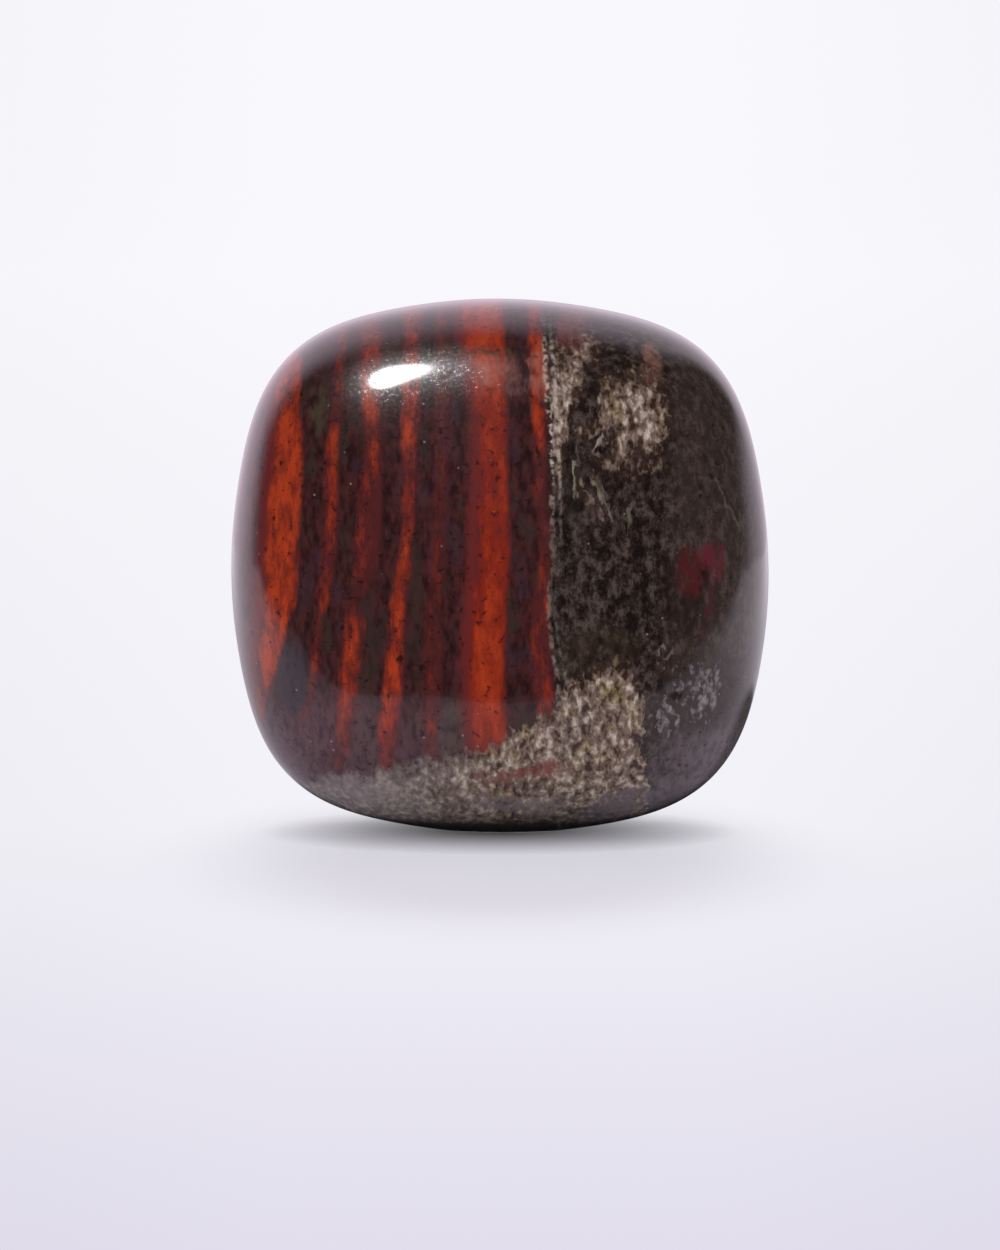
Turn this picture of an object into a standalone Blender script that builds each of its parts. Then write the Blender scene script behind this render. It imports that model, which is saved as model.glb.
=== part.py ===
"""Tumbled tiger iron: one polished, pillow-shaped stone that rests on a small flat spot.

Lengths are in metres and +Z is up. The broad banded face looks towards -Y, and the origin is
the middle of the flat spot that the stone rests on.
"""

import math
from typing import NamedTuple

import bmesh
import bpy
from mathutils import Vector


class Swell(NamedTuple):
    """A broad rise of the surface, or a worn flat where its height is below 0."""

    towards: tuple
    spread: float
    height: float


class Chip(NamedTuple):
    """A shallow oval pit in the front face, its long side turned up from +X."""

    across: float
    up: float
    half_length: float
    half_width: float
    turn: float
    depth: float


# Driving sizes of the stone. The girth is the level where it is widest.
WIDTH = 0.0250
DEPTH = 0.0200
ABOVE_GIRTH = 0.01261
BELOW_GIRTH = 0.01217
FLAT_SPOT_TRIM = 0.0002

# The form is between an ellipsoid, whose squareness is 2, and a box, where it grows without end
SQUARENESS = 2.87

# Wear of the front outline, as shares of its radius. It has a shoulder on each side of each corner.
SHOULDERS = 8
SHOULDER_FLATTENING = 0.0142
LEAN = 0.0033

BACK_SWELLS = (
    Swell((0.30, 0.90, 0.25), math.radians(32), 0.00022),
    Swell((-0.45, 0.85, -0.30), math.radians(28), -0.00026),
    Swell((0.25, 0.92, -0.45), math.radians(22), -0.00015),
    Swell((-0.30, 0.88, 0.50), math.radians(20), 0.00012),
)

FRONT_CHIPS = (
    Chip(0.00482, 0.01765, 0.00062, 0.00026, math.radians(58), 0.00012),
    Chip(0.00819, 0.00642, 0.00040, 0.00030, math.radians(-70), 0.00014),
    Chip(-0.00225, 0.02147, 0.00055, 0.00024, math.radians(20), 0.00006),
)

# Mesh fineness: cells along each side of the starting cube, and how often a chip's cells halve
CELLS = 24
CHIP_HALVINGS = 2
CHIP_MARGIN = 0.0006

STONE_COLOUR = (0.078, 0.030, 0.025, 1.0)
STONE_ROUGHNESS = 0.16
STONE_METALLIC = 0.0


def clear_scene():
    for old in list(bpy.data.objects):
        bpy.data.objects.remove(old, do_unlink=True)


def pillow_point(cube_point):
    """The point of the plain pillow form that lies outwards from a point on the starting cube."""
    total = sum(abs(value) ** SQUARENESS for value in cube_point)
    reach = total ** (-1 / SQUARENESS)
    half_height = ABOVE_GIRTH if cube_point.z > 0 else BELOW_GIRTH
    half_sizes = Vector((WIDTH / 2, DEPTH / 2, half_height))
    return cube_point * half_sizes * reach


def wear(direction):
    """How far tumbling wore the surface down along this direction, as a share of its radius."""
    around = math.atan2(direction.z, direction.x)
    girth_share = 1 - direction.y ** 2
    flattening = SHOULDER_FLATTENING * (1 - math.cos(SHOULDERS * around)) / 2
    return girth_share * (flattening + LEAN * math.sin(2 * around))


def swell_height(direction):
    height = 0.0
    for swell in BACK_SWELLS:
        apart = direction.angle(Vector(swell.towards))
        height += swell.height * math.exp(-((apart / swell.spread) ** 2))
    return height


def above_flat_spot(point):
    """The same point measured from the middle of the flat spot, and never below it."""
    flat_level = FLAT_SPOT_TRIM - BELOW_GIRTH
    return Vector((point.x, point.y, max(point.z, flat_level) - flat_level))


def worn_point(cube_point):
    plain = pillow_point(cube_point)
    direction = plain.normalized()
    worn = plain * (1 - wear(direction)) + direction * swell_height(direction)
    return above_flat_spot(worn)


def chip_depth(point, chip):
    """How deep a chip is at this point: its full depth in the middle, and 0 from its rim on."""
    offset_x = point.x - chip.across
    offset_z = point.z - chip.up
    along = offset_x * math.cos(chip.turn) + offset_z * math.sin(chip.turn)
    sideways = offset_z * math.cos(chip.turn) - offset_x * math.sin(chip.turn)
    outwards = (along / chip.half_length) ** 2 + (sideways / chip.half_width) ** 2
    return chip.depth * max(0.0, 1 - outwards) ** 2


def near_a_chip(face, margin):
    """Whether a face of the starting cube becomes part of a chip or of a margin around it."""
    point = worn_point(face.calc_center_median())
    return point.y < 0 and any(
        math.hypot(point.x - chip.across, point.z - chip.up) < chip.half_length + margin
        for chip in FRONT_CHIPS
    )


def halve_cells_at_chips(bm):
    for step in range(CHIP_HALVINGS):
        margin = CHIP_MARGIN / 2 ** step
        chosen = {face for face in bm.faces if near_a_chip(face, margin)}
        edges = [edge for edge in bm.edges if chosen.intersection(edge.link_faces)]
        bmesh.ops.subdivide_edges(bm, edges=edges, cuts=1, use_grid_fill=True)


def stone_mesh():
    bm = bmesh.new()
    bmesh.ops.create_cube(bm, size=2)
    bmesh.ops.subdivide_edges(bm, edges=bm.edges[:], cuts=CELLS - 1, use_grid_fill=True)
    halve_cells_at_chips(bm)
    for vertex in bm.verts:
        point = worn_point(vertex.co)
        if point.y < 0:
            point.y += sum(chip_depth(point, chip) for chip in FRONT_CHIPS)
        vertex.co = point
    bmesh.ops.triangulate(bm, faces=bm.faces[:])
    bmesh.ops.recalc_face_normals(bm, faces=bm.faces[:])
    mesh = bpy.data.meshes.new("stone")
    bm.to_mesh(mesh)
    bm.free()
    mesh.shade_smooth()
    return mesh


def polished_stone():
    """Mean colour of the red jasper, dark hematite and tiger eye bands, under a gloss polish."""
    material = bpy.data.materials.new("polished tiger iron")
    material.use_nodes = True
    shader = material.node_tree.nodes["Principled BSDF"]
    shader.inputs["Base Color"].default_value = STONE_COLOUR
    shader.inputs["Roughness"].default_value = STONE_ROUGHNESS
    shader.inputs["Metallic"].default_value = STONE_METALLIC
    material.diffuse_color = STONE_COLOUR
    return material


def main():
    clear_scene()
    stone = bpy.data.objects.new("stone", stone_mesh())
    stone.data.materials.append(polished_stone())
    bpy.context.scene.collection.objects.link(stone)


main()
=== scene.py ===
import math

import bpy
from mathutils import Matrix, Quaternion, Vector


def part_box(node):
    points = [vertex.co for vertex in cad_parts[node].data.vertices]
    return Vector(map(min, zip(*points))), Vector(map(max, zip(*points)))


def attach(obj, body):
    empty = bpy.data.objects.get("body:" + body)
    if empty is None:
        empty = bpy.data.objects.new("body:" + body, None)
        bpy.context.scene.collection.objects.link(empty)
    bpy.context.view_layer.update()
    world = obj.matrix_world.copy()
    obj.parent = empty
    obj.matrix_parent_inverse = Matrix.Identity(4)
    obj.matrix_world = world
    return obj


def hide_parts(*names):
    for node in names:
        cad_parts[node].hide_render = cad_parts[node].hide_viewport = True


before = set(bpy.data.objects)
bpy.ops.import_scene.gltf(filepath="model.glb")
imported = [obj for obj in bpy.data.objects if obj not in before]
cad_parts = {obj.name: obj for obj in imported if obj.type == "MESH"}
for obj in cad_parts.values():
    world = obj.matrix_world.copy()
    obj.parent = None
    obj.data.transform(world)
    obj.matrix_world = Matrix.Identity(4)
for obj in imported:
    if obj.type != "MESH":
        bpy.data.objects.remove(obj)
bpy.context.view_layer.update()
print("frame loaded")

mmPerMetre = 1000


def linearColour(hexCode):
    channels = [int(hexCode[i:i + 2], 16) / 255 for i in (0, 2, 4)]
    linear = [c / 12.92 if c <= 0.04045 else ((c + 0.055) / 1.055) ** 2.4 for c in channels]
    return (*linear, 1.0)


# Inputs come in order or by name. Each is a value, a hex colour, a node or a node's output.
def addNode(tree, kind, inputs=(), **settings):
    isShaderNode = not kind.startswith(("GeometryNode", "NodeGroup"))
    node = tree.nodes.new("ShaderNode" + kind if isShaderNode else kind)
    for name, value in settings.items():
        setattr(node, name, value)
    shown = [socket for socket in node.inputs if socket.enabled]
    pairs = inputs.items() if isinstance(inputs, dict) else enumerate(inputs)
    for key, value in pairs:
        socket = shown[key] if isinstance(key, int) else next(s for s in shown if s.name == key)
        if isinstance(value, bpy.types.Node):
            value = next(out for out in value.outputs if out.enabled)
        if isinstance(value, bpy.types.NodeSocket):
            tree.links.new(value, socket)
        else:
            socket.default_value = linearColour(value) if isinstance(value, str) else value
    return node


# Lays a tone over a colour: it starts to show at one level and shows most at another.
def addLayer(tree, colour, level, tone, start, full, most=1.0, where=None, softly=False):
    share = addNode(tree, "MapRange", {
        "Value": level, "From Min": start, "From Max": full, "To Max": most,
    }, interpolation_type="SMOOTHSTEP" if softly else "LINEAR")
    if where is not None:
        share = addNode(tree, "Math", [share, where], operation="MULTIPLY")
    return addNode(tree, "Mix", {"Factor": share, "A": colour, "B": tone}, data_type="RGBA")


def newMaterial(name):
    material = bpy.data.materials.new(name)
    material.use_nodes = True
    material.node_tree.nodes.clear()
    return material


def addObject(name, data):
    thing = bpy.data.objects.new(name, data)
    bpy.context.scene.collection.objects.link(thing)
    return thing


# The stone's form, in metres: a tumbled pillow between an ellipsoid and a box.
pillow = {
    "Squareness": 2.87,             # 2 is an ellipsoid, higher is boxier
    "Shoulders": 8.0,               # one on each side of the front outline's four corners
    "Shoulder Flattening": 0.0142,  # how far they are worn down, as a share of the radius
    "Lean": 0.0033,
    "Flat Trim": 0.0002,            # how much of the underside is worn off flat
    "Girth Height": 0.01197,        # the widest level above the table
    "Ripple Height": 0.000022,      # the slight unevenness a tumbler leaves
    "Ripple Size": 0.0042,
    "Chip Floor": 0.2,              # a chip is deepest within this share of its reach
    "Cells": 128,                   # along each side of the starting cube
    "Seed": 7.0,
}
swells = (  # towards, spread in degrees, height in metres
    ((0.30, 0.90, 0.25), 32, 0.00022),
    ((-0.45, 0.85, -0.30), 28, -0.00026),
    ((0.25, 0.92, -0.45), 22, -0.00015),
    ((-0.30, 0.88, 0.50), 20, 0.00012),
)
chips = (  # across, up, half length, half width, turn in degrees, depth
    (0.00472, 0.01810, 0.00062, 0.00026, 58, 0.00012),
    (0.00809, 0.00696, 0.00040, 0.00030, -70, 0.00014),
    (-0.00225, 0.02147, 0.00055, 0.00024, 20, 0.00001),
)


def pillowTree():
    tree = bpy.data.node_groups.new("tumbledPillow", "GeometryNodeTree")
    low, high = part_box("stone")
    sizes = {
        "Half Width": (high.x - low.x) / 2,
        "Half Depth": -low.y,
        "Height Above Girth": high.z - pillow["Girth Height"],
        "Height Below Girth": pillow["Girth Height"] + pillow["Flat Trim"],
        **pillow,
    }
    tree.interface.new_socket("Geometry", in_out="INPUT", socket_type="NodeSocketGeometry")
    for name, value in sizes.items():
        kind = "NodeSocketInt" if name == "Cells" else "NodeSocketFloat"
        socket = tree.interface.new_socket(name, in_out="INPUT", socket_type=kind)
        socket.default_value = value
    tree.interface.new_socket("Material", in_out="INPUT", socket_type="NodeSocketMaterial")
    tree.interface.new_socket("Geometry", in_out="OUTPUT", socket_type="NodeSocketGeometry")
    given = tree.nodes.new("NodeGroupInput").outputs

    points = addNode(tree, "Math", [given["Cells"], 1], operation="ADD")
    cube = addNode(tree, "GeometryNodeMeshCube", {
        "Size": (2, 2, 2), "Vertices X": points, "Vertices Y": points, "Vertices Z": points,
    })
    corner = addNode(tree, "GeometryNodeInputPosition")

    # plain pillow point: the cube point pushed out until |x|^n + |y|^n + |z|^n is 1
    size = addNode(tree, "VectorMath", [corner], operation="ABSOLUTE")
    powers = [
        addNode(tree, "Math", [axis, given["Squareness"]], operation="POWER")
        for axis in addNode(tree, "SeparateXYZ", [size]).outputs
    ]
    total = addNode(tree, "Math", [powers[0], powers[1]], operation="ADD")
    total = addNode(tree, "Math", [total, powers[2]], operation="ADD")
    root = addNode(tree, "Math", [-1.0, given["Squareness"]], operation="DIVIDE")
    reach = addNode(tree, "Math", [total, root], operation="POWER")
    cornerZ = addNode(tree, "SeparateXYZ", [corner]).outputs["Z"]
    isUpper = addNode(tree, "Math", [cornerZ, 0.0], operation="GREATER_THAN")
    halfHeight = addNode(tree, "Mix", {
        "Factor": isUpper, "A": given["Height Below Girth"], "B": given["Height Above Girth"],
    })
    halfSizes = addNode(tree, "CombineXYZ", [given["Half Width"], given["Half Depth"], halfHeight])
    plain = addNode(tree, "VectorMath", [corner, halfSizes], operation="MULTIPLY")
    plain = addNode(tree, "VectorMath", [plain, reach], operation="SCALE")
    outwards = addNode(tree, "VectorMath", [plain], operation="NORMALIZE")
    way = addNode(tree, "SeparateXYZ", [outwards]).outputs

    # worn shoulders and a slight lean of the front outline
    around = addNode(tree, "Math", [way["Z"], way["X"]], operation="ARCTAN2")
    allRound = addNode(tree, "Math", [around, given["Shoulders"]], operation="MULTIPLY")
    wave = addNode(tree, "Math", [allRound], operation="COSINE")
    hollow = addNode(tree, "Math", [wave, -0.5, 0.5], operation="MULTIPLY_ADD")
    worn = addNode(tree, "Math", [hollow, given["Shoulder Flattening"]], operation="MULTIPLY")
    twofold = addNode(tree, "Math", [around, 2.0], operation="MULTIPLY")
    leaning = addNode(tree, "Math", [twofold], operation="SINE")
    worn = addNode(tree, "Math", [leaning, given["Lean"], worn], operation="MULTIPLY_ADD")
    depthShare = addNode(tree, "Math", [way["Y"], way["Y"]], operation="MULTIPLY")
    girthShare = addNode(tree, "Math", [1.0, depthShare], operation="SUBTRACT")
    worn = addNode(tree, "Math", [worn, girthShare], operation="MULTIPLY")
    keptShare = addNode(tree, "Math", [1.0, worn], operation="SUBTRACT")
    point = addNode(tree, "VectorMath", [plain, keptShare], operation="SCALE")

    # broad swells and flats of the back, and the tumbler's ripple all over
    fineness = addNode(tree, "Math", [1.0, given["Ripple Size"]], operation="DIVIDE")
    ripple = addNode(tree, "TexNoise", {
        "Vector": point, "W": given["Seed"], "Scale": fineness, "Detail": 1.5,
    }, noise_dimensions="4D")
    rise = addNode(tree, "Math", [ripple, 0.5], operation="SUBTRACT")
    rise = addNode(tree, "Math", [rise, given["Ripple Height"]], operation="MULTIPLY")
    for towards, spread, height in swells:
        aim = Vector(towards).normalized()
        facing = addNode(tree, "VectorMath", [outwards, aim], operation="DOT_PRODUCT")
        apart = addNode(tree, "Math", [facing], operation="ARCCOSINE")
        apart = addNode(tree, "Math", [apart, math.radians(spread)], operation="DIVIDE")
        squared = addNode(tree, "Math", [apart, apart], operation="MULTIPLY")
        fallen = addNode(tree, "Math", [squared, -1.0], operation="MULTIPLY")
        share = addNode(tree, "Math", [fallen], operation="EXPONENT")
        rise = addNode(tree, "Math", [share, height, rise], operation="MULTIPLY_ADD")
    push = addNode(tree, "VectorMath", [outwards, rise], operation="SCALE")
    point = addNode(tree, "VectorMath", [point, push], operation="ADD")

    # stand it on its flat spot
    place = addNode(tree, "SeparateXYZ", [point]).outputs
    lifted = addNode(tree, "Math", [place["Z"], given["Girth Height"]], operation="ADD")
    lifted = addNode(tree, "Math", [lifted, 0.0], operation="MAXIMUM")

    # chips in the front face
    depth = 0.0
    for across, up, halfLength, halfWidth, turn, deepest in chips:
        offset = addNode(tree, "CombineXYZ", [
            addNode(tree, "Math", [place["X"], across], operation="SUBTRACT"),
            addNode(tree, "Math", [lifted, up], operation="SUBTRACT"),
        ])
        offset = addNode(tree, "VectorRotate", {"Vector": offset, "Angle": math.radians(-turn)},
                         rotation_type="Z_AXIS")
        reached = addNode(tree, "VectorMath", [offset, (halfLength, halfWidth, 1)],
                          operation="DIVIDE")
        pit = addNode(tree, "MapRange", {
            "Value": addNode(tree, "VectorMath", [reached], operation="LENGTH"),
            "From Min": 1.0, "From Max": given["Chip Floor"], "To Max": deepest,
        }, interpolation_type="SMOOTHSTEP")
        depth = addNode(tree, "Math", [pit, depth], operation="ADD")
    isFront = addNode(tree, "Math", [place["Y"], 0.0], operation="LESS_THAN")
    depth = addNode(tree, "Math", [depth, isFront], operation="MULTIPLY")
    sunk = addNode(tree, "Math", [place["Y"], depth], operation="ADD")
    finished = addNode(tree, "CombineXYZ", [place["X"], sunk, lifted])

    shaped = addNode(tree, "GeometryNodeSetPosition", {"Geometry": cube, "Position": finished})
    smooth = addNode(tree, "GeometryNodeSetShadeSmooth", {"Geometry": shaped})
    real = addNode(tree, "GeometryNodeRealizeInstances", {"Geometry": smooth})
    dressed = addNode(tree, "GeometryNodeSetMaterial",
                      {"Geometry": real, "Material": given["Material"]})
    addNode(tree, "NodeGroupOutput", {"Geometry": dressed})
    return tree


def makeStone(material):
    holder = addObject("stoneHolder", bpy.data.meshes.new("stoneHolder"))
    tree = pillowTree()
    modifier = holder.modifiers.new("tumbledPillow", "NODES")
    modifier.node_group = tree
    for socket in tree.interface.items_tree:
        if socket.in_out == "INPUT" and socket.name in pillow:
            modifier[socket.identifier] = pillow[socket.name]
        if socket.in_out == "INPUT" and socket.name == "Material":
            modifier[socket.identifier] = material
    evaluated = holder.evaluated_get(bpy.context.evaluated_depsgraph_get())
    mesh = bpy.data.meshes.new_from_object(evaluated)
    mesh.name = "tumbledStone"
    bpy.data.objects.remove(holder)
    return addObject("tumbledStone", mesh)


# The stone's pattern, in millimetres. The beds stand upright and cross the whole stone.
beds = {
    "upright": 0.42,        # the grain's noise runs this much slower along the beds
    "wander": 0.17,         # how far a bed's edge strays, and over what length
    "wanderSize": 1.6,
    "fray": 0.15,
    "fraySize": 0.3,
    "softEdge": 0.17,
    "stray": (1.0, 1.0, 1.6),   # how far a patch's outline strays each way
    "strayFray": 0.7,       # and how much of that its fine fringe has
    "mottle": (0.34, 0.6),  # noise over which a patch goes from thin to full
    "thinnest": 0.2,
    "fold": 3.4,            # on the hidden side the beds fold
    "foldSize": 12.0,
    "foldFrom": -5.0,
    "foldFull": 8.0,
}


# A value that runs smoothly through rows of (position, value).
def curveOf(tree, position, rows):
    places = [place for place, value in rows]
    values = [value for place, value in rows]
    low, high = min(values), max(values) + 1e-4     # never an empty range
    share = addNode(tree, "MapRange",
                    {"Value": position, "From Min": places[0], "From Max": places[-1]})
    curve = addNode(tree, "FloatCurve", {"Value": share})
    line = curve.mapping.curves[0]
    marks = [((place - places[0]) / (places[-1] - places[0]), (value - low) / (high - low))
             for place, value in rows]
    line.points[0].location = marks[0]
    line.points[1].location = marks[-1]
    for mark in marks[1:-1]:
        line.points.new(*mark)
    curve.mapping.update()
    return addNode(tree, "MapRange", {"Value": curve, "To Min": low, "To Max": high})


# The distance from the middle of an oval, which is 1 at its edge.
def distanceFrom(tree, place, middle, halfSizes, turn=0):
    near = addNode(tree, "Mapping", {
        "Vector": place, "Location": middle, "Rotation": (0, math.radians(turn), 0),
        "Scale": halfSizes,
    }, vector_type="TEXTURE")
    return addNode(tree, "VectorMath", [near], operation="LENGTH")


def within(tree, place, middle, halfSizes, turn=0, softness=0.35):
    away = distanceFrom(tree, place, middle, halfSizes, turn)
    return addNode(tree, "MapRange", {
        "Value": away, "From Min": 1 + softness, "From Max": 1 - softness,
    }, interpolation_type="SMOOTHSTEP")


def layStone(tree):
    held = addNode(tree, "TexCoord").outputs["Object"]
    place = addNode(tree, "VectorMath", [held, mmPerMetre], operation="SCALE")
    x, y, z = addNode(tree, "SeparateXYZ", [place]).outputs
    upright = addNode(tree, "VectorMath", [place, (1, beds["upright"], beds["upright"])],
                      operation="MULTIPLY")
    wander = addNode(tree, "TexNoise", {
        "Vector": upright, "Scale": 1 / beds["wanderSize"], "Detail": 2.0, "Roughness": 0.55,
    })
    fray = addNode(tree, "TexNoise", {
        "Vector": upright, "Scale": 1 / beds["fraySize"], "Detail": 2.0, "Roughness": 0.6,
    })
    strayed = place
    across = x
    for noise, share, amount in ((wander, 1.0, beds["wander"]),
                                 (fray, beds["strayFray"], beds["fray"])):
        centred = addNode(tree, "VectorMath", [noise.outputs["Color"], (0.5, 0.5, 0.5)],
                          operation="SUBTRACT")
        strayed = addNode(tree, "VectorMath", [centred, share * Vector(beds["stray"]), strayed],
                          operation="MULTIPLY_ADD")
        centred = addNode(tree, "Math", [noise, 0.5], operation="SUBTRACT")
        across = addNode(tree, "Math", [centred, 2 * amount, across], operation="MULTIPLY_ADD")
    hidden = addNode(tree, "MapRange", {
        "Value": y, "From Min": beds["foldFrom"], "From Max": beds["foldFull"],
    }, interpolation_type="SMOOTHSTEP")
    fold = addNode(tree, "TexNoise",
                   {"Vector": place, "Scale": 1 / beds["foldSize"], "Detail": 1.0})
    fold = addNode(tree, "Math", [fold, 0.5], operation="SUBTRACT")
    fold = addNode(tree, "Math", [fold, 2 * beds["fold"]], operation="MULTIPLY")
    across = addNode(tree, "Math", [fold, hidden, across], operation="MULTIPLY_ADD")
    return {
        "place": place, "upright": upright, "strayed": strayed, "across": across,
        "x": x, "height": z, "fray": fray, "hidden": hidden,
    }


def addPatches(tree, colour, bed, patches):
    mottled = addNode(tree, "MapRange", {
        "Value": bed["fray"], "From Min": beds["mottle"][0], "From Max": beds["mottle"][1],
        "To Min": beds["thinnest"],
    })
    for middle, halfSizes, turn, tone, strength in patches:
        inside = within(tree, bed["strayed"], middle, halfSizes, turn)
        share = addNode(tree, "Math", [inside, strength], operation="MULTIPLY")
        share = addNode(tree, "Math", [share, mottled], operation="MULTIPLY")
        colour = addNode(tree, "Mix", {"Factor": share, "A": colour, "B": tone}, data_type="RGBA")
    return colour


hematite = {  # dark iron ore between the bands, stained red by the jasper
    "darkest": "271212",
    "lighter": ("45201e", 0.36, 0.62),      # tone, and noise where it starts and is full
    "stains": (("342b25", 0.47, 0.38, 0.6), ("3d2931", 0.53, 0.63, 0.55)),  # and how strong
    "stainSize": 1.1,
}


def addHematite(tree, bed):
    colour = addLayer(tree, hematite["darkest"], bed["fray"], *hematite["lighter"])
    cloud = addNode(tree, "TexNoise", {
        "Vector": bed["upright"], "Scale": 1 / hematite["stainSize"], "Detail": 3.0,
        "Roughness": 0.65,
    })
    for stain in hematite["stains"]:
        colour = addLayer(tree, colour, cloud, *stain)
    return colour


# Red jasper bands. Each row says, at one height, where the band's middle is, its half width, its
# glow (0 is maroon, 1 is orange-red) and how much of it shows.
jasperBands = (
    ((4, -11.5, 0.15, 0.5, 0), (6.5, -10.95, 0.35, 0.6, 0.8), (9.2, -10.55, 0.62, 0.85, 1),
     (11.1, -10.21, 0.75, 1.0, 1), (15.7, -9.93, 0.73, 1.2, 1), (18.4, -9.75, 0.66, 1.05, 1),
     (20.5, -9.78, 0.56, 0.85, 1), (22, -9.75, 0.6, 0.8, 1), (25, -9.5, 0.62, 0.55, 0.9)),
    ((5, -9.2, 0.15, 0.1, 0), (6.6, -8.83, 0.28, 0.25, 0.55), (8.4, -8.55, 0.24, 0.35, 0.6),
     (10.2, -8.3, 0.15, 0.35, 0.6), (11.2, -8.12, 0.3, 0.6, 0.85), (15.8, -7.75, 0.33, 0.65, 0.9),
     (18.4, -7.67, 0.3, 0.6, 0.8), (19.4, -7.55, 0.28, 0.3, 0.7), (25, -7.2, 0.35, 0.3, 0.7)),
    ((3, -7.5, 0.2, 0.3, 0), (4.7, -7.22, 0.39, 0.35, 0.7), (6.6, -7.03, 0.5, 0.55, 0.9),
     (8.4, -6.84, 0.5, 0.7, 0.9), (10.2, -6.7, 0.45, 0.6, 0.9), (11.1, -6.6, 0.35, 0.1, 0.35),
     (13.1, -6.19, 0.58, 0.08, 0.8), (16.6, -5.95, 0.52, 0.1, 0.8), (18.5, -5.82, 0.39, 0.35, 0.85),
     (20.3, -5.97, 0.46, 0.8, 0.95), (22, -5.95, 0.48, 0.45, 0.85), (25, -5.9, 0.5, 0.35, 0.9)),
    ((2.2, -5.6, 0.15, 0.2, 0), (4, -5.2, 0.38, 0.45, 0.85), (6.6, -5.0, 0.46, 0.75, 1),
     (10.3, -4.72, 0.36, 0.7, 0.95), (12.2, -4.49, 0.42, 0.6, 0.9), (14, -4.31, 0.28, 0.5, 0.85),
     (17, -4.17, 0.32, 0.4, 0.85), (20.4, -4.13, 0.42, 0.7, 1), (22, -4.1, 0.4, 0.5, 0.95),
     (25, -4.0, 0.44, 0.45, 0.95)),
    ((3.6, -3.2, 0.3, 0.15, 0), (5, -3.2, 0.38, 0.2, 0.75), (7, -3.15, 0.4, 0.15, 0.7),
     (9.4, -3.12, 0.38, 0.08, 0.5), (13.1, -2.89, 0.36, 0.05, 0.45), (17.2, -2.7, 0.38, 0.08, 0.4),
     (21, -2.65, 0.38, 0.1, 0.4), (25, -2.6, 0.4, 0.35, 0.8)),
    ((4.0, -0.3, 0.75, 0.9, 0), (4.5, -0.35, 0.85, 0.95, 1), (8, -0.6, 0.8, 1.05, 1),
     (11.3, -0.46, 0.84, 0.75, 1), (15.4, -0.27, 0.73, 0.6, 1), (18.6, -0.32, 0.66, 0.8, 1),
     (21, -0.5, 0.76, 0.95, 1), (23.5, -0.74, 0.93, 1.1, 1), (25, -0.8, 0.95, 1.0, 1)),
    ((5.6, 2.2, 0.2, 0.3, 0), (6.4, 2.12, 0.42, 0.35, 0.9), (9, 1.9, 0.42, 0.35, 0.9),
     (10.5, 1.88, 0.5, 0.3, 0.85), (13, 2.02, 0.28, 0.2, 0.6), (16.7, 1.79, 0.3, 0.2, 0.55),
     (18.5, 1.75, 0.3, 0.5, 0.9), (21, 1.76, 0.34, 1.0, 0.95), (22.6, 1.66, 0.32, 0.9, 0.9),
     (25, 1.5, 0.3, 0.2, 0.5)),
)
jasper = {
    "maroon": "521f1f",
    "brickRed": ("7c2714", 0.0, 0.6),       # tone, and the glow where it starts and is full
    "orangeRed": ("a63715", 0.6, 1.4),
    "skin": "64211f",       # a dark red skin along the left of the two broad bands
    "skinOffset": 0.42,
    "skinSoft": 0.3,
    "skinBands": (0, 5),
    "blotchSize": 0.5,
    "blotchUpright": 0.8,   # on top of the grain's own stretch
    "blotchNoise": (0.3, 0.7),
    "blotch": 1.0,          # how much glow a blotch takes or gives over that noise
    "evenBand": 5,          # the middle band is more even and a purer red than the others
    "evenBlotch": 0.5,
    "evenRed": ("7c200c", 0.0, 0.6),
    "edgeDulling": 0.45,    # how much less a band glows at its edges
}


def addJasper(tree, colour, bed):
    taller = addNode(tree, "VectorMath", [bed["upright"], (1, 1, jasper["blotchUpright"])],
                     operation="MULTIPLY")
    blotch = addNode(tree, "TexNoise", {
        "Vector": taller, "Scale": 1 / jasper["blotchSize"], "Detail": 4.0, "Roughness": 0.7,
    })
    blotch = addNode(tree, "MapRange", {
        "Value": blotch, "From Min": jasper["blotchNoise"][0],
        "From Max": jasper["blotchNoise"][1], "To Min": -jasper["blotch"],
        "To Max": jasper["blotch"],
    }, clamp=False)
    for number, rows in enumerate(jasperBands):
        middle, halfWidth, glow, strength = (
            curveOf(tree, bed["height"], [(row[0], row[part]) for row in rows])
            for part in (1, 2, 3, 4)
        )
        offset = addNode(tree, "Math", [bed["across"], middle], operation="SUBTRACT")
        outness = addNode(tree, "Math", [offset, halfWidth], operation="DIVIDE")
        outness = addNode(tree, "Math", [outness, outness], operation="MULTIPLY")
        glow = addNode(tree, "Math", [outness, -jasper["edgeDulling"], glow],
                       operation="MULTIPLY_ADD")
        isEven = number == jasper["evenBand"]
        blotched = jasper["evenBlotch"] if isEven else 1.0
        glow = addNode(tree, "Math", [blotch, blotched, glow], operation="MULTIPLY_ADD")
        brick = jasper["evenRed"] if isEven else jasper["brickRed"]
        red = addLayer(tree, jasper["maroon"], glow, *brick)
        red = addLayer(tree, red, glow, *jasper["orangeRed"])
        layers = [(0.0, beds["softEdge"], red)]
        if number in jasper["skinBands"]:
            layers.insert(0, (jasper["skinOffset"], jasper["skinSoft"], jasper["skin"]))
        for leftwards, soft, tone in layers:
            shifted = addNode(tree, "Math", [offset, leftwards], operation="ADD")
            away = addNode(tree, "Math", [shifted], operation="ABSOLUTE")
            inside = addNode(tree, "Math", [halfWidth, away], operation="SUBTRACT")
            colour = addLayer(tree, colour, inside, tone, -soft, soft,
                              where=strength, softly=True)
    return colour


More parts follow.
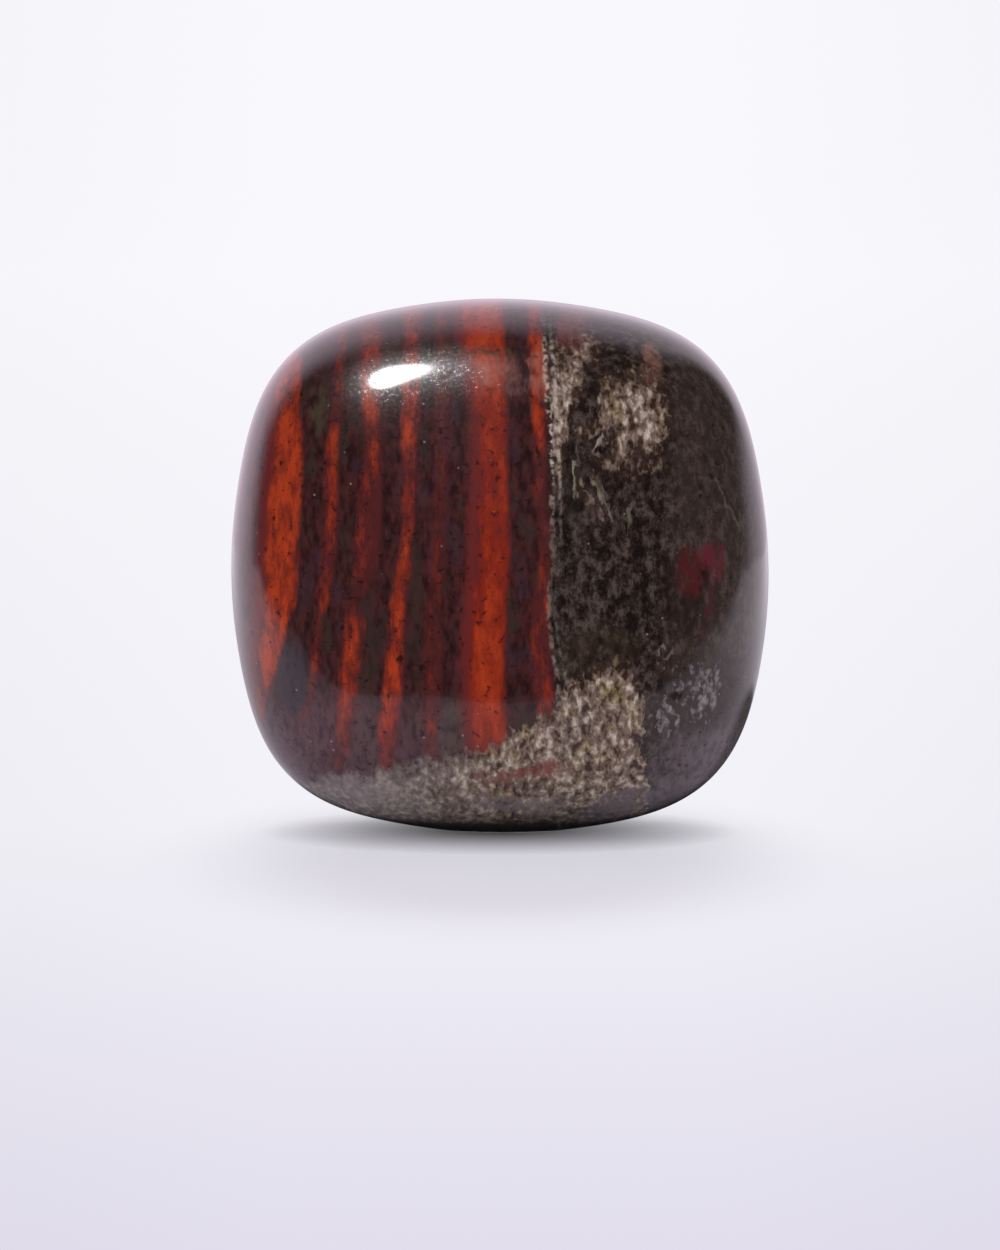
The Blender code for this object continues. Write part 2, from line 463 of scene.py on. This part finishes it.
tigerEye = {  # fibrous quartz beyond the seam, mottled dark brown and grey
    "edge": ((0, 2.75), (6.6, 2.66), (9.4, 2.34), (11.3, 2.2), (13.1, 2.4), (18.6, 2.3),
             (21.3, 2.1), (25, 1.9)),
    "edgeSoft": 0.06,
    "darkest": "19100d",
    "tones": (("2c221d", 0.41, 0.5), ("4e423b", 0.5, 0.63)),    # tone, and noise from and to
    "mottleSize": 0.42,
    "mottleUpright": 0.7,
    "smooth": ("41342f", 7.2, 8.6, 0.45),   # a smoother side, from here to there across
    "clouds": (("6a4a26", 0.52, 0.66, 0.6), ("5c2119", 0.45, 0.34, 0.75)),  # on the hidden sides
    "cloudSize": 3.2,
    "seam": "b5a698",       # a pale dashed line on the seam and a fainter one beside it
    "seamLines": ((0.0, 0.1, 1.0), (0.36, 0.07, 0.6)),
    "seamEdge": (1.6, 0.4),     # a line fades out over these shares of its half width
    "seamShare": ((6, 0.25), (9, 0.3), (12, 0.15), (16, 0.45), (18, 1.1), (22, 1.1),
                  (23.3, 0.3), (25, 0.0)),
    "dashSize": 0.3,
    "dashNoise": (0.42, 0.6),
}


def addTigerEye(tree, colour, bed):
    edge = curveOf(tree, bed["height"], tigerEye["edge"])
    past = addNode(tree, "Math", [bed["across"], edge], operation="SUBTRACT")
    taller = addNode(tree, "VectorMath", [bed["place"], (1, 1, tigerEye["mottleUpright"])],
                     operation="MULTIPLY")
    mottle = addNode(tree, "TexNoise", {
        "Vector": taller, "Scale": 1 / tigerEye["mottleSize"], "Detail": 4.0, "Roughness": 0.75,
    })
    eye = tigerEye["darkest"]
    for tone in tigerEye["tones"]:
        eye = addLayer(tree, eye, mottle, *tone)
    eye = addLayer(tree, eye, bed["x"], *tigerEye["smooth"], softly=True)
    cloud = addNode(tree, "TexNoise", {
        "Vector": bed["upright"], "Scale": 1 / tigerEye["cloudSize"], "Detail": 4.0,
        "Roughness": 0.6,
    })
    for stain in tigerEye["clouds"]:
        eye = addLayer(tree, eye, cloud, *stain, where=bed["hidden"])
    soft = tigerEye["edgeSoft"]
    return addLayer(tree, colour, past, eye, -soft, soft), past


def addSeam(tree, colour, bed, past):
    dash = addNode(tree, "TexNoise", {
        "Vector": bed["place"], "Scale": 1 / tigerEye["dashSize"], "Detail": 2.0,
    })
    dash = addNode(tree, "MapRange", {
        "Value": dash, "From Min": tigerEye["dashNoise"][0], "From Max": tigerEye["dashNoise"][1],
    })
    strength = curveOf(tree, bed["height"], tigerEye["seamShare"])
    strength = addNode(tree, "Math", [strength, dash], operation="MULTIPLY")
    for beyond, halfWidth, most in tigerEye["seamLines"]:
        away = addNode(tree, "Math", [past, beyond], operation="SUBTRACT")
        away = addNode(tree, "Math", [away], operation="ABSOLUTE")
        start, full = (share * halfWidth for share in tigerEye["seamEdge"])
        colour = addLayer(tree, colour, away, tigerEye["seam"], start, full, most, strength)
    return colour


# Small coloured places: middle, half sizes, turn in degrees about y, colour, how strong
groundPatches = (
    ((-11.6, -4.0, 14), (1.0, 7.0, 11), 0, "552830", 0.85),    # maroon left side
    ((-7.6, -6.0, 3.6), (5.5, 6.0, 2.9), 0, "513a41", 0.75),   # mauve towards the foot
    ((-2.2, -8.0, 5.5), (1.5, 3.0, 1.6), 0, "474038", 0.75),
    ((-6.2, -7.5, 4.6), (0.8, 3.0, 1.7), 0, "453a39", 0.6),
)
eyePatches = (
    ((9.8, -6.0, 2.6), (3.2, 6.0, 3.1), 0, "594c51", 0.9),     # grey lower right
    ((9.0, -7.4, 6.7), (2.2, 3.0, 1.8), 0, "231a19", 0.8),
    ((8.3, -8.7, 10.9), (1.0, 2.5, 1.5), 0, "1f1512", 0.75),
    ((3.6, -9.8, 16.2), (0.5, 1.5, 1.3), 0, "1f1913", 0.8),
    ((4.4, -9.7, 8.9), (1.9, 2.0, 1.0), 0, "382b1d", 0.6),
    ((-5.6, -6.0, 4.6), (5.2, 6.0, 2.7), 0, "643b40", 0.2),    # dusky pink over the red ones' ends
    ((6.98, -6.7, 22.0), (0.5, 2.5, 1.0), 0, "7a5648", 0.95),
)
fleckPockets = (  # where pale flecks crowd: middle, half sizes, turn, how full
    ((2.75, -8.3, 20.9), (0.85, 3.0, 1.6), 10, 1.0),
    ((3.4, -7.2, 22.6), (1.3, 3.0, 1.0), 0, 0.75),
    ((2.72, -9.0, 18.7), (0.4, 3.0, 2.0), 0, 0.9),
    ((4.9, -8.6, 20.2), (0.36, 3.0, 1.4), 0, 0.9),
    ((6.4, -8.3, 19.8), (1.4, 3.0, 1.9), 0, 1.0),
    ((4.3, -9.0, 19.05), (0.75, 2.0, 0.4), -18, 0.85),
    ((5.7, -9.2, 17.8), (1.7, 2.5, 1.0), 0, 0.55),
    ((4.1, -9.6, 15.9), (0.22, 2.0, 1.4), -25, 0.5),
    ((7.6, -8.9, 8.2), (0.6, 1.5, 0.7), 0, 0.5),
    ((9.2, -7.9, 6.8), (1.3, 2.5, 1.7), 20, 0.42),
    ((7.7, -8.5, 5.6), (1.0, 2.0, 1.1), 0, 0.45),
)
fleckFoot = (  # below this line (across, height) the foot of the stone is all flecks
    (-12.5, 1.2), (-7.85, 2.3), (-4.6, 3.1), (-2.8, 3.5), (-0.9, 4.3), (0.7, 5.35), (2.3, 6.0),
    (2.84, 7.0), (3.44, 7.6), (4.6, 7.9), (5.6, 8.1), (6.2, 7.6), (6.5, 6.6), (6.75, 2.5),
    (7.2, 0.6), (12.5, 0.3),
)
flecks = {
    "size": 0.3,            # how wide a fleck is
    "upright": (1, 0.65, 0.65),     # its noise runs this much slower along the beds
    "pocketSoft": 0.45,
    "pastSeam": (-0.05, 0.15),      # the pockets start over this width at the seam
    "footSoft": (-0.8, 0.7),        # and the foot over this height at its line
    "clumpSize": 0.9,       # how wide a clump of lighter or darker flecks is, and how much so
    "clump": 0.35,
    "dark": "35231c",       # the ground between the flecks, and how much it covers
    "darkShare": 0.85,
    "shownFrom": 0.3,       # flecks are at full strength from this fullness on
    "middle": "725f52",     # mid tone, then how far past the noise level it starts and is full
    "middleLevel": (-1.2, 0.2),
    # the bright and brightest tones are partly the fibres' own pale colour and partly their
    # chatoyant sheen, painted in as colour
    "bright": ("b0a192", 0.3, 1.6),
    "brightest": ("cfc6ba", 1.5, 2.8),
    "gold": ("857548", 0.52, 0.7, 0.7),     # golden clouds in the mid tone, and how wide
    "goldSize": 1.25,
    "cool": "726a6b",       # grey ones at the lower right, and some on the left
    "coolLeft": 0.7,
    "coolFrom": (6.6, 7.4),
    "coolBelow": (14, 11),
    "sharp": 0.12,          # noise from dark to mid tone, and the same on the soft left side
    "soft": 0.24,
    "softFrom": (0.0, -5.0),
    "leftFuller": 0.1,      # how much lower the noise level for a fleck is on that side
    "sparse": 0.78,         # noise level that makes a fleck where a pocket is empty and full
    "crowded": 0.485,
    "footShade": ("2c2325", 1.2, 0.45, 0.4),    # dark just above the table, more on the right
    "footSlant": 0.13,
    "paintedSoleShade": ("17110f", 0.95, 0.4, 0.9),         # and painted shade that makes the underside nearly black
}


def addFlecks(tree, colour, bed, past):
    fullness = 0.0
    for middle, halfSizes, turn, full in fleckPockets:
        inside = within(tree, bed["strayed"], middle, halfSizes, turn, flecks["pocketSoft"])
        inside = addNode(tree, "Math", [inside, full], operation="MULTIPLY")
        fullness = addNode(tree, "Math", [fullness, inside], operation="MAXIMUM")
    beyondSeam = addNode(tree, "MapRange", {
        "Value": past, "From Min": flecks["pastSeam"][0], "From Max": flecks["pastSeam"][1],
    })
    fullness = addNode(tree, "Math", [fullness, beyondSeam], operation="MULTIPLY")
    strayed = addNode(tree, "SeparateXYZ", [bed["strayed"]]).outputs
    line = curveOf(tree, strayed["X"], fleckFoot)
    below = addNode(tree, "Math", [line, strayed["Z"]], operation="SUBTRACT")
    foot = addNode(tree, "MapRange", {
        "Value": below, "From Min": flecks["footSoft"][0], "From Max": flecks["footSoft"][1],
    }, interpolation_type="SMOOTHSTEP")
    fullness = addNode(tree, "Math", [fullness, foot], operation="MAXIMUM")

    longer = addNode(tree, "VectorMath", [bed["place"], flecks["upright"]], operation="MULTIPLY")
    noise = addNode(tree, "TexNoise", {
        "Vector": longer, "Scale": 1 / flecks["size"], "Detail": 2.5, "Roughness": 0.6,
        "Distortion": 0.25,
    })
    level = addNode(tree, "MapRange", {
        "Value": fullness, "To Min": flecks["sparse"], "To Max": flecks["crowded"],
    })
    clump = addNode(tree, "TexNoise", {
        "Vector": bed["upright"], "Scale": 1 / flecks["clumpSize"], "Detail": 2.0,
    })
    clump = addNode(tree, "Math", [clump, 0.5], operation="SUBTRACT")
    level = addNode(tree, "Math", [clump, flecks["clump"], level], operation="MULTIPLY_ADD")
    above = addNode(tree, "Math", [noise, level], operation="SUBTRACT")
    leftShare = addNode(tree, "MapRange", {
        "Value": bed["x"], "From Min": flecks["softFrom"][0], "From Max": flecks["softFrom"][1],
    })
    spread = addNode(tree, "MapRange", {
        "Value": leftShare, "To Min": flecks["sharp"], "To Max": flecks["soft"],
    })
    above = addNode(tree, "Math", [leftShare, flecks["leftFuller"], above],
                    operation="MULTIPLY_ADD")
    above = addNode(tree, "Math", [above, spread], operation="DIVIDE")

    tint = addNode(tree, "TexNoise",
                   {"Vector": bed["place"], "Scale": 1 / flecks["goldSize"], "Detail": 2.0})
    middle = addLayer(tree, flecks["middle"], tint, *flecks["gold"])
    cool = addNode(tree, "MapRange", {
        "Value": bed["x"], "From Min": flecks["coolFrom"][0], "From Max": flecks["coolFrom"][1],
    })
    low = addNode(tree, "MapRange", {
        "Value": bed["height"], "From Min": flecks["coolBelow"][0],
        "From Max": flecks["coolBelow"][1],
    })
    cool = addNode(tree, "Math", [cool, low], operation="MULTIPLY")
    cool = addNode(tree, "Math", [leftShare, flecks["coolLeft"], cool], operation="MULTIPLY_ADD")
    middle = addNode(tree, "Mix", {"Factor": cool, "A": middle, "B": flecks["cool"]},
                     data_type="RGBA")
    covered = addNode(tree, "Math", [fullness, flecks["darkShare"]], operation="MULTIPLY")
    colour = addNode(tree, "Mix", {"Factor": covered, "A": colour, "B": flecks["dark"]},
                     data_type="RGBA")
    shown = addNode(tree, "MapRange", {"Value": fullness, "From Max": flecks["shownFrom"]})
    for tone in ((middle, *flecks["middleLevel"]), flecks["bright"], flecks["brightest"]):
        colour = addLayer(tree, colour, above, *tone, where=shown)
    # painted shade: darker just above the table, more on the right, and a nearly black underside
    lift = addNode(tree, "Math", [bed["x"], -flecks["footSlant"], bed["height"]],
                   operation="MULTIPLY_ADD")
    colour = addLayer(tree, colour, lift, *flecks["footShade"], softly=True)
    return addLayer(tree, colour, bed["height"], *flecks["paintedSoleShade"], softly=True)


specks = {  # black ore that shows most in the red
    "size": 0.32,
    "ore": ("1e0e0c", 0.6, 0.72, 0.85),     # tone, noise where it starts and is full, strength
}


def addSpecks(tree, colour, bed):
    noise = addNode(tree, "TexNoise", {
        "Vector": bed["place"], "Scale": 1 / specks["size"], "Detail": 2.0, "Distortion": 0.5,
    })
    return addLayer(tree, colour, noise, *specks["ore"])


inclusionsAndChipShading = (  # over everything else, laid out as the patches are: the stone's own marks, and painted shade and highlight at one chip
    ((8.82, -8.5, 12.45), (0.55, 2.0, 1.05), -4, "4c1819", 1.0),    # the maroon spot, right
    ((9.85, -7.8, 13.0), (0.6, 2.0, 0.78), -30, "5c1f28", 1.0),
    ((9.6, -7.9, 11.0), (0.2, 2.0, 1.1), 14, "4a1e28", 0.9),
    ((9.3, -8.2, 12.2), (0.2, 1.2, 0.6), 8, "1f1110", 0.9),
    ((9.25, -8.1, 9.6), (0.2, 1.5, 0.9), 10, "3f222b", 0.5),
    ((-8.3, -7.5, 19.9), (0.36, 2.5, 1.1), 0, "423d2c", 0.65),       # green, upper left
    ((-0.9, -7.1, 22.55), (1.9, 1.6, 0.18), 3, "3b2c1c", 0.8),      # crack across the middle band
    ((-0.1, -7.7, 21.6), (0.9, 2.0, 0.75), -35, "9c5f4f", 0.5),     # pink haze below it
    ((1.8, -8.0, 21.7), (0.4, 2.5, 1.3), 0, "9c6a5a", 0.5),
    ((0.75, -8.3, 20.95), (0.8, 2.0, 0.4), -20, "7d5450", 0.45),
    ((0.0, -8.3, 2.95), (1.2, 2.5, 0.36), -2, "6f3f38", 0.8),       # red streak in the foot
    ((1.9, -8.4, 3.25), (1.1, 2.5, 0.34), -14, "753b33", 0.85),
    ((3.35, -5.0, 23.8), (0.6, 4.0, 1.4), 0, "6c3735", 0.85),       # pink patch on the rim
    ((0.9, -6.9, 1.55), (2.2, 3.0, 0.5), 0, "76686a", 0.85),
    ((-6.4, -6.5, 2.2), (2.0, 3.0, 0.7), 8, "85777a", 0.65),
    ((-9.5, -7.3, 7.5), (0.6, 3.0, 1.6), 0, "2a2a33", 0.75),
    ((6.88, -8.6, 5.4), (0.1, 2.0, 1.9), 0, "2b2320", 0.7),
    ((5.9, -7.2, 1.3), (3.2, 3.0, 0.75), -24, "61565a", 0.95),
    ((3.6, -9.5, 16.9), (0.08, 2.0, 1.0), 4, "857a68", 0.8),        # fine strands
    ((4.65, -9.6, 15.8), (0.08, 2.0, 1.1), -21, "857a68", 0.8),
    ((5.9, -9.5, 15.0), (0.07, 2.0, 0.8), 10, "6f6457", 0.6),
    ((10.6, -7.6, 15.2), (0.08, 2.5, 1.5), -26, "6b6350", 0.6),
    ((4.8, -9.2, 18.1), (0.16, 2.0, 0.5), 32, "120d0b", 1.0),       # dark crescent: painted shade in the chip there
    # its pale edge: a painted highlight on the chip's rim
    ((4.45, -9.2, 18.25), (0.08, 2.0, 0.5), 32, "988d83", 0.8),
)
pinpricks = {  # tiny pale specks all over, drawn larger than real so that they show
    "spacing": 0.85,
    "radius": 0.05,
    "edge": (1.3, 0.7),     # they fade out over these shares of the radius
    "chance": (0.4, 0.9),   # random shares from which a speck shows, and shows fully
    "colour": "7d716d",
}


def addPinpricks(tree, colour, bed):
    cells = addNode(tree, "TexVoronoi",
                    {"Vector": bed["place"], "Scale": 1 / pinpricks["spacing"]}).outputs
    start, full = (share * pinpricks["radius"] / pinpricks["spacing"]
                   for share in pinpricks["edge"])
    chosen = addNode(tree, "SeparateXYZ", [cells["Color"]]).outputs["X"]
    chosen = addNode(tree, "MapRange", {
        "Value": chosen, "From Min": pinpricks["chance"][0], "From Max": pinpricks["chance"][1],
    })
    return addLayer(tree, colour, cells["Distance"], pinpricks["colour"], start, full,
                    where=chosen)


# Tiger iron, cut and tumbled to a gloss: quartz and iron ore under one hard polish, with the faint
# haze and the pinholes that tumbling leaves, so its highlight is sharp but speckled at the rim.
polish = {
    "ior": 1.54,            # quartz
    "roughness": 0.10,
    "haze": 0.2,
    "hazeRoughness": 0.36,
    "grain": 0.16,          # size of the pits, drawn coarse enough to show
    "pitDepth": 0.005,      # how deep they are where the polish missed them
    "pitNoise": (0.62, 0.76),
    "evenShare": 0.2,       # how much of that depth is left everywhere else
    "missed": ((-3.7, -8.4, 20.6), (4.2, 3.5, 2.6), 6, 0.5),    # an oval, its turn and softness
    "missedHaze": (0.45, 1.0),      # the haze there, over this noise
    "hazeNoise": (0.4, 0.62),
}


def polishedTigerIron():
    material = newMaterial("polishedTigerIron")
    tree = material.node_tree
    bed = layStone(tree)
    colour = addHematite(tree, bed)
    colour = addPatches(tree, colour, bed, groundPatches)
    colour = addJasper(tree, colour, bed)
    colour, past = addTigerEye(tree, colour, bed)
    colour = addPatches(tree, colour, bed, eyePatches)
    colour = addSpecks(tree, colour, bed)
    colour = addFlecks(tree, colour, bed, past)
    colour = addSeam(tree, colour, bed, past)
    colour = addPatches(tree, colour, bed, inclusionsAndChipShading)
    colour = addPinpricks(tree, colour, bed)

    grain = addNode(tree, "TexNoise", {
        "Vector": bed["place"], "Scale": 1 / polish["grain"], "Detail": 2.0, "Roughness": 0.6,
    })
    missed = within(tree, bed["place"], *polish["missed"])
    pits = addNode(tree, "MapRange", {
        "Value": grain, "From Min": polish["pitNoise"][0], "From Max": polish["pitNoise"][1],
    })
    relief = addNode(tree, "Bump", {
        "Strength": addNode(tree, "MapRange", {"Value": missed, "To Min": polish["evenShare"]}),
        "Height": pits, "Distance": polish["pitDepth"] / mmPerMetre,
    })
    haze = addNode(tree, "MapRange", {
        "Value": grain, "From Min": polish["hazeNoise"][0], "From Max": polish["hazeNoise"][1],
        "To Min": polish["missedHaze"][0], "To Max": polish["missedHaze"][1],
    })
    haze = addNode(tree, "Math", [missed, haze, polish["haze"]], operation="MULTIPLY_ADD")
    shader = addNode(tree, "BsdfPrincipled", {
        "Base Color": colour, "Roughness": polish["roughness"], "IOR": polish["ior"],
        "Coat Weight": haze, "Coat Roughness": polish["hazeRoughness"],
        "Normal": relief,
    })
    addNode(tree, "OutputMaterial", {"Surface": shader})
    return material


stone = makeStone(polishedTigerIron())
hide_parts("stone")
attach(stone, "root")
print("stone made:", len(stone.data.polygons), "faces")


# Light, in watts and metres. The tent is white behind and overhead, and dark towards the camera.
tent = {
    "white": "ffeefe",
    "dark": "1a1a1c",
    "whiteFrom": 0.90,      # how far towards the back a direction points, plus its height share
    "darkFrom": 0.50,
    "heightShare": 0.30,
    "lowReach": 0.17,       # it comes this much further forward at the table's level
    "lowBelow": 0.2,
    "middleGlow": 0.80,
    "sideGlow": -0.30,      # brighter towards the left
    "flagSide": (0.36, 0.52),   # a dark flag hangs at the upper right, past this far across
    "flagHeight": (0.05, 0.20),
}


def lightTent():
    world = bpy.data.worlds.new("lightTent")
    bpy.context.scene.world = world
    world.use_nodes = True
    tree = world.node_tree
    tree.nodes.clear()
    direction = addNode(tree, "TexCoord").outputs["Generated"]
    x, y, z = addNode(tree, "SeparateXYZ", [direction]).outputs
    behind = addNode(tree, "Math", [z, tent["heightShare"], y], operation="MULTIPLY_ADD")
    low = addNode(tree, "MapRange", {
        "Value": z, "From Max": tent["lowBelow"], "To Min": tent["lowReach"], "To Max": 0.0,
    })
    behind = addNode(tree, "Math", [behind, low], operation="ADD")
    share = addNode(tree, "MapRange",
                    {"Value": behind, "From Min": tent["darkFrom"], "From Max": tent["whiteFrom"]},
                    interpolation_type="SMOOTHSTEP")
    flagged = [
        addNode(tree, "MapRange", {"Value": way, "From Min": start, "From Max": full})
        for way, (start, full) in ((x, tent["flagSide"]), (z, tent["flagHeight"]))
    ]
    flag = addNode(tree, "Math", flagged, operation="MULTIPLY")
    unflagged = addNode(tree, "Math", [1.0, flag], operation="SUBTRACT")
    share = addNode(tree, "Math", [share, unflagged], operation="MULTIPLY")
    glow = addNode(tree, "Math", [x, tent["sideGlow"], tent["middleGlow"]],
                   operation="MULTIPLY_ADD")
    share = addNode(tree, "Math", [share, glow], operation="MULTIPLY")
    tone = addNode(tree, "Mix", {"Factor": share, "A": tent["dark"], "B": tent["white"]},
                   data_type="RGBA", clamp_factor=False)
    background = addNode(tree, "Background", {"Color": tone})
    addNode(tree, "OutputWorld", {"Surface": background})


lamps = {  # towards the lamp, its distance, width, length, turn in degrees, and power
    "softbox": ((-0.275, -0.262, 0.925), 0.5, 0.105, 0.160, 36, 1.3),
    "overheadPanel": ((0.0, -0.15, 1.0), 0.6, 0.5, 0.5, 0, 0.95),
    "frontPanel": ((0.0, -1.0, 0.22), 0.9, 0.6, 0.5, 0, 2.8),
    "backPanel": ((0.0, 0.86, 0.5), 0.8, 0.30, 0.14, 0, 2.1),
}
reflectedLamp = "softbox"  # the only lamp that the polish shows


def addLamp(name, towards, distance, width, length, turn, power):
    lamp = bpy.data.lights.new(name, "AREA")
    lamp.shape = "ELLIPSE"
    lamp.size = width
    lamp.size_y = length
    lamp.energy = power
    holder = addObject(name, lamp)
    outwards = Vector(towards).normalized()
    holder.location = Vector((0, 0, pillow["Girth Height"])) + distance * outwards
    facing = (-outwards).to_track_quat("-Z", "Y")
    holder.rotation_euler = (facing @ Quaternion((0, 0, 1), math.radians(turn))).to_euler()
    holder.visible_glossy = name == reflectedLamp
    holder.visible_diffuse = name != reflectedLamp
    holder.visible_camera = False


# The stage, in metres: a pale floor that curves up all round, and a small white table that only
# the polish reflects, as wide as its reflection shows.
stage = {
    "floorRadius": 0.75,
    "curveRadius": 0.30,
    "curveSteps": 12,
    "wallHeight": 0.9,
    "rings": (0.10, 0.30),  # rings of edges inside the flat floor
    "rounds": 96,           # edges in each ring
    # painted light: the paper is darker and more lavender in front and lighter at the back
    "near": "e2deed",
    "middle": "f3f2f8",
    "far": "f9f8fd",
    "nearAt": -0.17,
    "middleAt": 0.0,
    "farAt": 0.60,
    "shadowMiddle": (0, -0.020, 0),     # the stone's shadow falls forward, to this oval's edge
    "shadowSize": (0.0178, 0.045, 1),
    "shadowFrom": 0.35,
    "shadowLight": 0.4,     # share of the paper's light that no shadow takes away
    "touchMiddle": (0, -0.0025, 0),     # painted shade: the dark place where stone and paper touch
    "touchSize": (0.0112, 0.0128, 1),
    "touchLight": 0.03,
    "sideDim": 0.93,        # painted falloff: the paper dims this much sideways, from here to there
    "sideFrom": 0.008,
    "sideTo": 0.035,
    "sideWiden": 2.8,       # and over a wider span towards the back
    "tableHeight": 0.00002,
    "tableFront": -0.0228,
    "tableSide": 0.25,
    "tableBack": 0.25,
    "tableSlant": 2.0,      # painted shade darkens its front corners: distance sideways less this much of depth
    "tableFade": (0.05, 0.105),
    "tableMiddle": "cbc5ce",
    "tableEdge": "fff8ff",
    "tableEdgeFrom": (0.018, 0.065),
    "shadeMiddle": (-0.005, 0.030, 0),  # the stone's shade on it falls to the right and back
    "shadeEdge": (0.0375, 0.0305),
    "shadeMost": 0.9,
    "shadeRightOf": (-0.003, 0.004),
    "underMiddle": (0, 0.006, 0),       # no light gets under the stone and just behind it
    "underSize": (0.0105, 0.0115, 1),
    "underSoft": 0.15,
}


def makeFloor():
    profile = [(0.0, 0.0)] + [(ring, 0.0) for ring in (*stage["rings"], stage["floorRadius"])]
    for step in range(1, stage["curveSteps"] + 1):
        turn = math.radians(90 * step / stage["curveSteps"])
        profile.append((stage["floorRadius"] + stage["curveRadius"] * math.sin(turn),
                        stage["curveRadius"] * (1 - math.cos(turn))))
    profile.append((stage["floorRadius"] + stage["curveRadius"], stage["wallHeight"]))
    rounds = stage["rounds"]
    points = [(0.0, 0.0, 0.0)]
    for radius, height in profile[1:]:
        for step in range(rounds):
            turn = 2 * math.pi * step / rounds
            points.append((radius * math.cos(turn), radius * math.sin(turn), height))
    faces = [(0, 1 + step, 1 + (step + 1) % rounds) for step in range(rounds)]
    for ring in range(len(profile) - 2):
        first = 1 + ring * rounds
        for step in range(rounds):
            after = (step + 1) % rounds
            faces.append((first + step, first + rounds + step,
                          first + rounds + after, first + after))
    mesh = bpy.data.meshes.new("paleFloor")
    mesh.from_pydata(points, [], faces)
    mesh.shade_smooth()
    floor = addObject("paleFloor", mesh)
    material = newMaterial("palePaper")  # paper that glows with painted light, lighter towards the back
    tree = material.node_tree
    held = addNode(tree, "TexCoord").outputs["Object"]
    x, y = addNode(tree, "SeparateXYZ", [held]).outputs[:2]
    tone = addLayer(tree, stage["near"], y, stage["middle"], stage["nearAt"], stage["middleAt"])
    tone = addLayer(tree, tone, y, stage["far"], stage["middleAt"], stage["farAt"])
    sideways = addNode(tree, "Math", [x], operation="ABSOLUTE")
    widened = addNode(tree, "MapRange", {
        "Value": y, "From Min": stage["middleAt"], "From Max": stage["farAt"],
        "To Min": 1.0, "To Max": stage["sideWiden"],
    })
    sideways = addNode(tree, "Math", [sideways, widened], operation="DIVIDE")
    dim = addNode(tree, "MapRange", {
        "Value": sideways, "From Min": stage["sideFrom"], "From Max": stage["sideTo"],
        "To Min": 1.0, "To Max": stage["sideDim"],
    })
    tone = addNode(tree, "VectorMath", [tone, dim], operation="SCALE")
    # painted shade where stone and paper touch
    touch = distanceFrom(tree, held, stage["touchMiddle"], stage["touchSize"])
    touch = addNode(tree, "MapRange", {"Value": touch, "To Min": stage["touchLight"]})
    tone = addNode(tree, "Mix", {"Factor": touch, "A": "000000", "B": tone}, data_type="RGBA")
    # the paper glows and takes no shadow, except in this oval, where up to 60% of it is matt and
    # takes real shadow
    away = distanceFrom(tree, held, stage["shadowMiddle"], stage["shadowSize"])
    glow = addNode(tree, "MapRange", {
        "Value": away, "From Min": stage["shadowFrom"], "To Min": stage["shadowLight"],
    }, interpolation_type="SMOOTHSTEP")
    matt = addNode(tree, "BsdfDiffuse", {"Color": tone})
    paintedGlow = addNode(tree, "Emission", {"Color": tone, "Strength": 1.0})
    mixed = addNode(tree, "MixShader", [glow, matt, paintedGlow])
    addNode(tree, "OutputMaterial", {"Surface": mixed})
    mesh.materials.append(material)
    floor.visible_glossy = False
    floor.visible_shadow = False
    return floor


def makeTable():
    front, side, back = stage["tableFront"], stage["tableSide"], stage["tableBack"]
    height = stage["tableHeight"]
    mesh = bpy.data.meshes.new("whiteTable")
    mesh.from_pydata([(-side, front, height), (side, front, height),
                      (side, back, height), (-side, back, height)], [], [(0, 1, 2, 3)])
    table = addObject("whiteTable", mesh)
    material = newMaterial("whiteCard")  # matt board with painted light, brighter towards its sides
    tree = material.node_tree
    held = addNode(tree, "TexCoord").outputs["Object"]
    x, y = addNode(tree, "SeparateXYZ", [held]).outputs[:2]
    out = addNode(tree, "Math", [x], operation="ABSOLUTE")
    tone = addLayer(tree, stage["tableMiddle"], out, stage["tableEdge"], *stage["tableEdgeFrom"],
                    softly=True)
    corner = addNode(tree, "Math", [y, -stage["tableSlant"], out], operation="MULTIPLY_ADD")
    tone = addLayer(tree, tone, corner, tent["dark"], *stage["tableFade"], softly=True)
    away = addNode(tree, "VectorMath", [held, stage["shadeMiddle"]], operation="DISTANCE")
    rightwards = addNode(tree, "MapRange", {
        "Value": x, "From Min": stage["shadeRightOf"][0], "From Max": stage["shadeRightOf"][1],
    })
    tone = addLayer(tree, tone, away, tent["dark"], *stage["shadeEdge"], stage["shadeMost"],
                    where=rightwards, softly=True)
    under = within(tree, held, stage["underMiddle"], stage["underSize"],
                   softness=stage["underSoft"])
    tone = addNode(tree, "Mix", {"Factor": under, "A": tone, "B": tent["dark"]}, data_type="RGBA")
    matt = addNode(tree, "BsdfDiffuse", {"Color": tone})
    addNode(tree, "OutputMaterial", {"Surface": matt})
    mesh.materials.append(material)
    table.visible_camera = False
    table.visible_diffuse = False
    table.visible_shadow = False
    return table


makeFloor()
makeTable()
print("floor made")

lightTent()
for name, (towards, distance, width, length, turn, power) in lamps.items():
    addLamp(name, towards, distance, width, length, turn, power)
print("lights set")


# The camera: a long macro lens almost level with the stone, framed as the 1000 by 1250 picture.
view = {
    "distance": 0.60,
    "elevation": 4.0,
    "aimHeight": 0.00941,
    "focalLength": 370.8,
    "nearest": 0.01,        # nothing closer than this is drawn
}
camera = addObject("camera", bpy.data.cameras.new("camera"))
camera.data.lens = view["focalLength"]
camera.data.clip_start = view["nearest"]
rise = math.radians(view["elevation"])
aim = Vector((0, 0, view["aimHeight"]))
camera.location = aim + view["distance"] * Vector((0, -math.cos(rise), math.sin(rise)))
camera.rotation_euler = (aim - camera.location).to_track_quat("-Z", "Y").to_euler()
bpy.context.scene.camera = camera
bpy.context.scene.view_settings.view_transform = "Standard"
print("camera set")
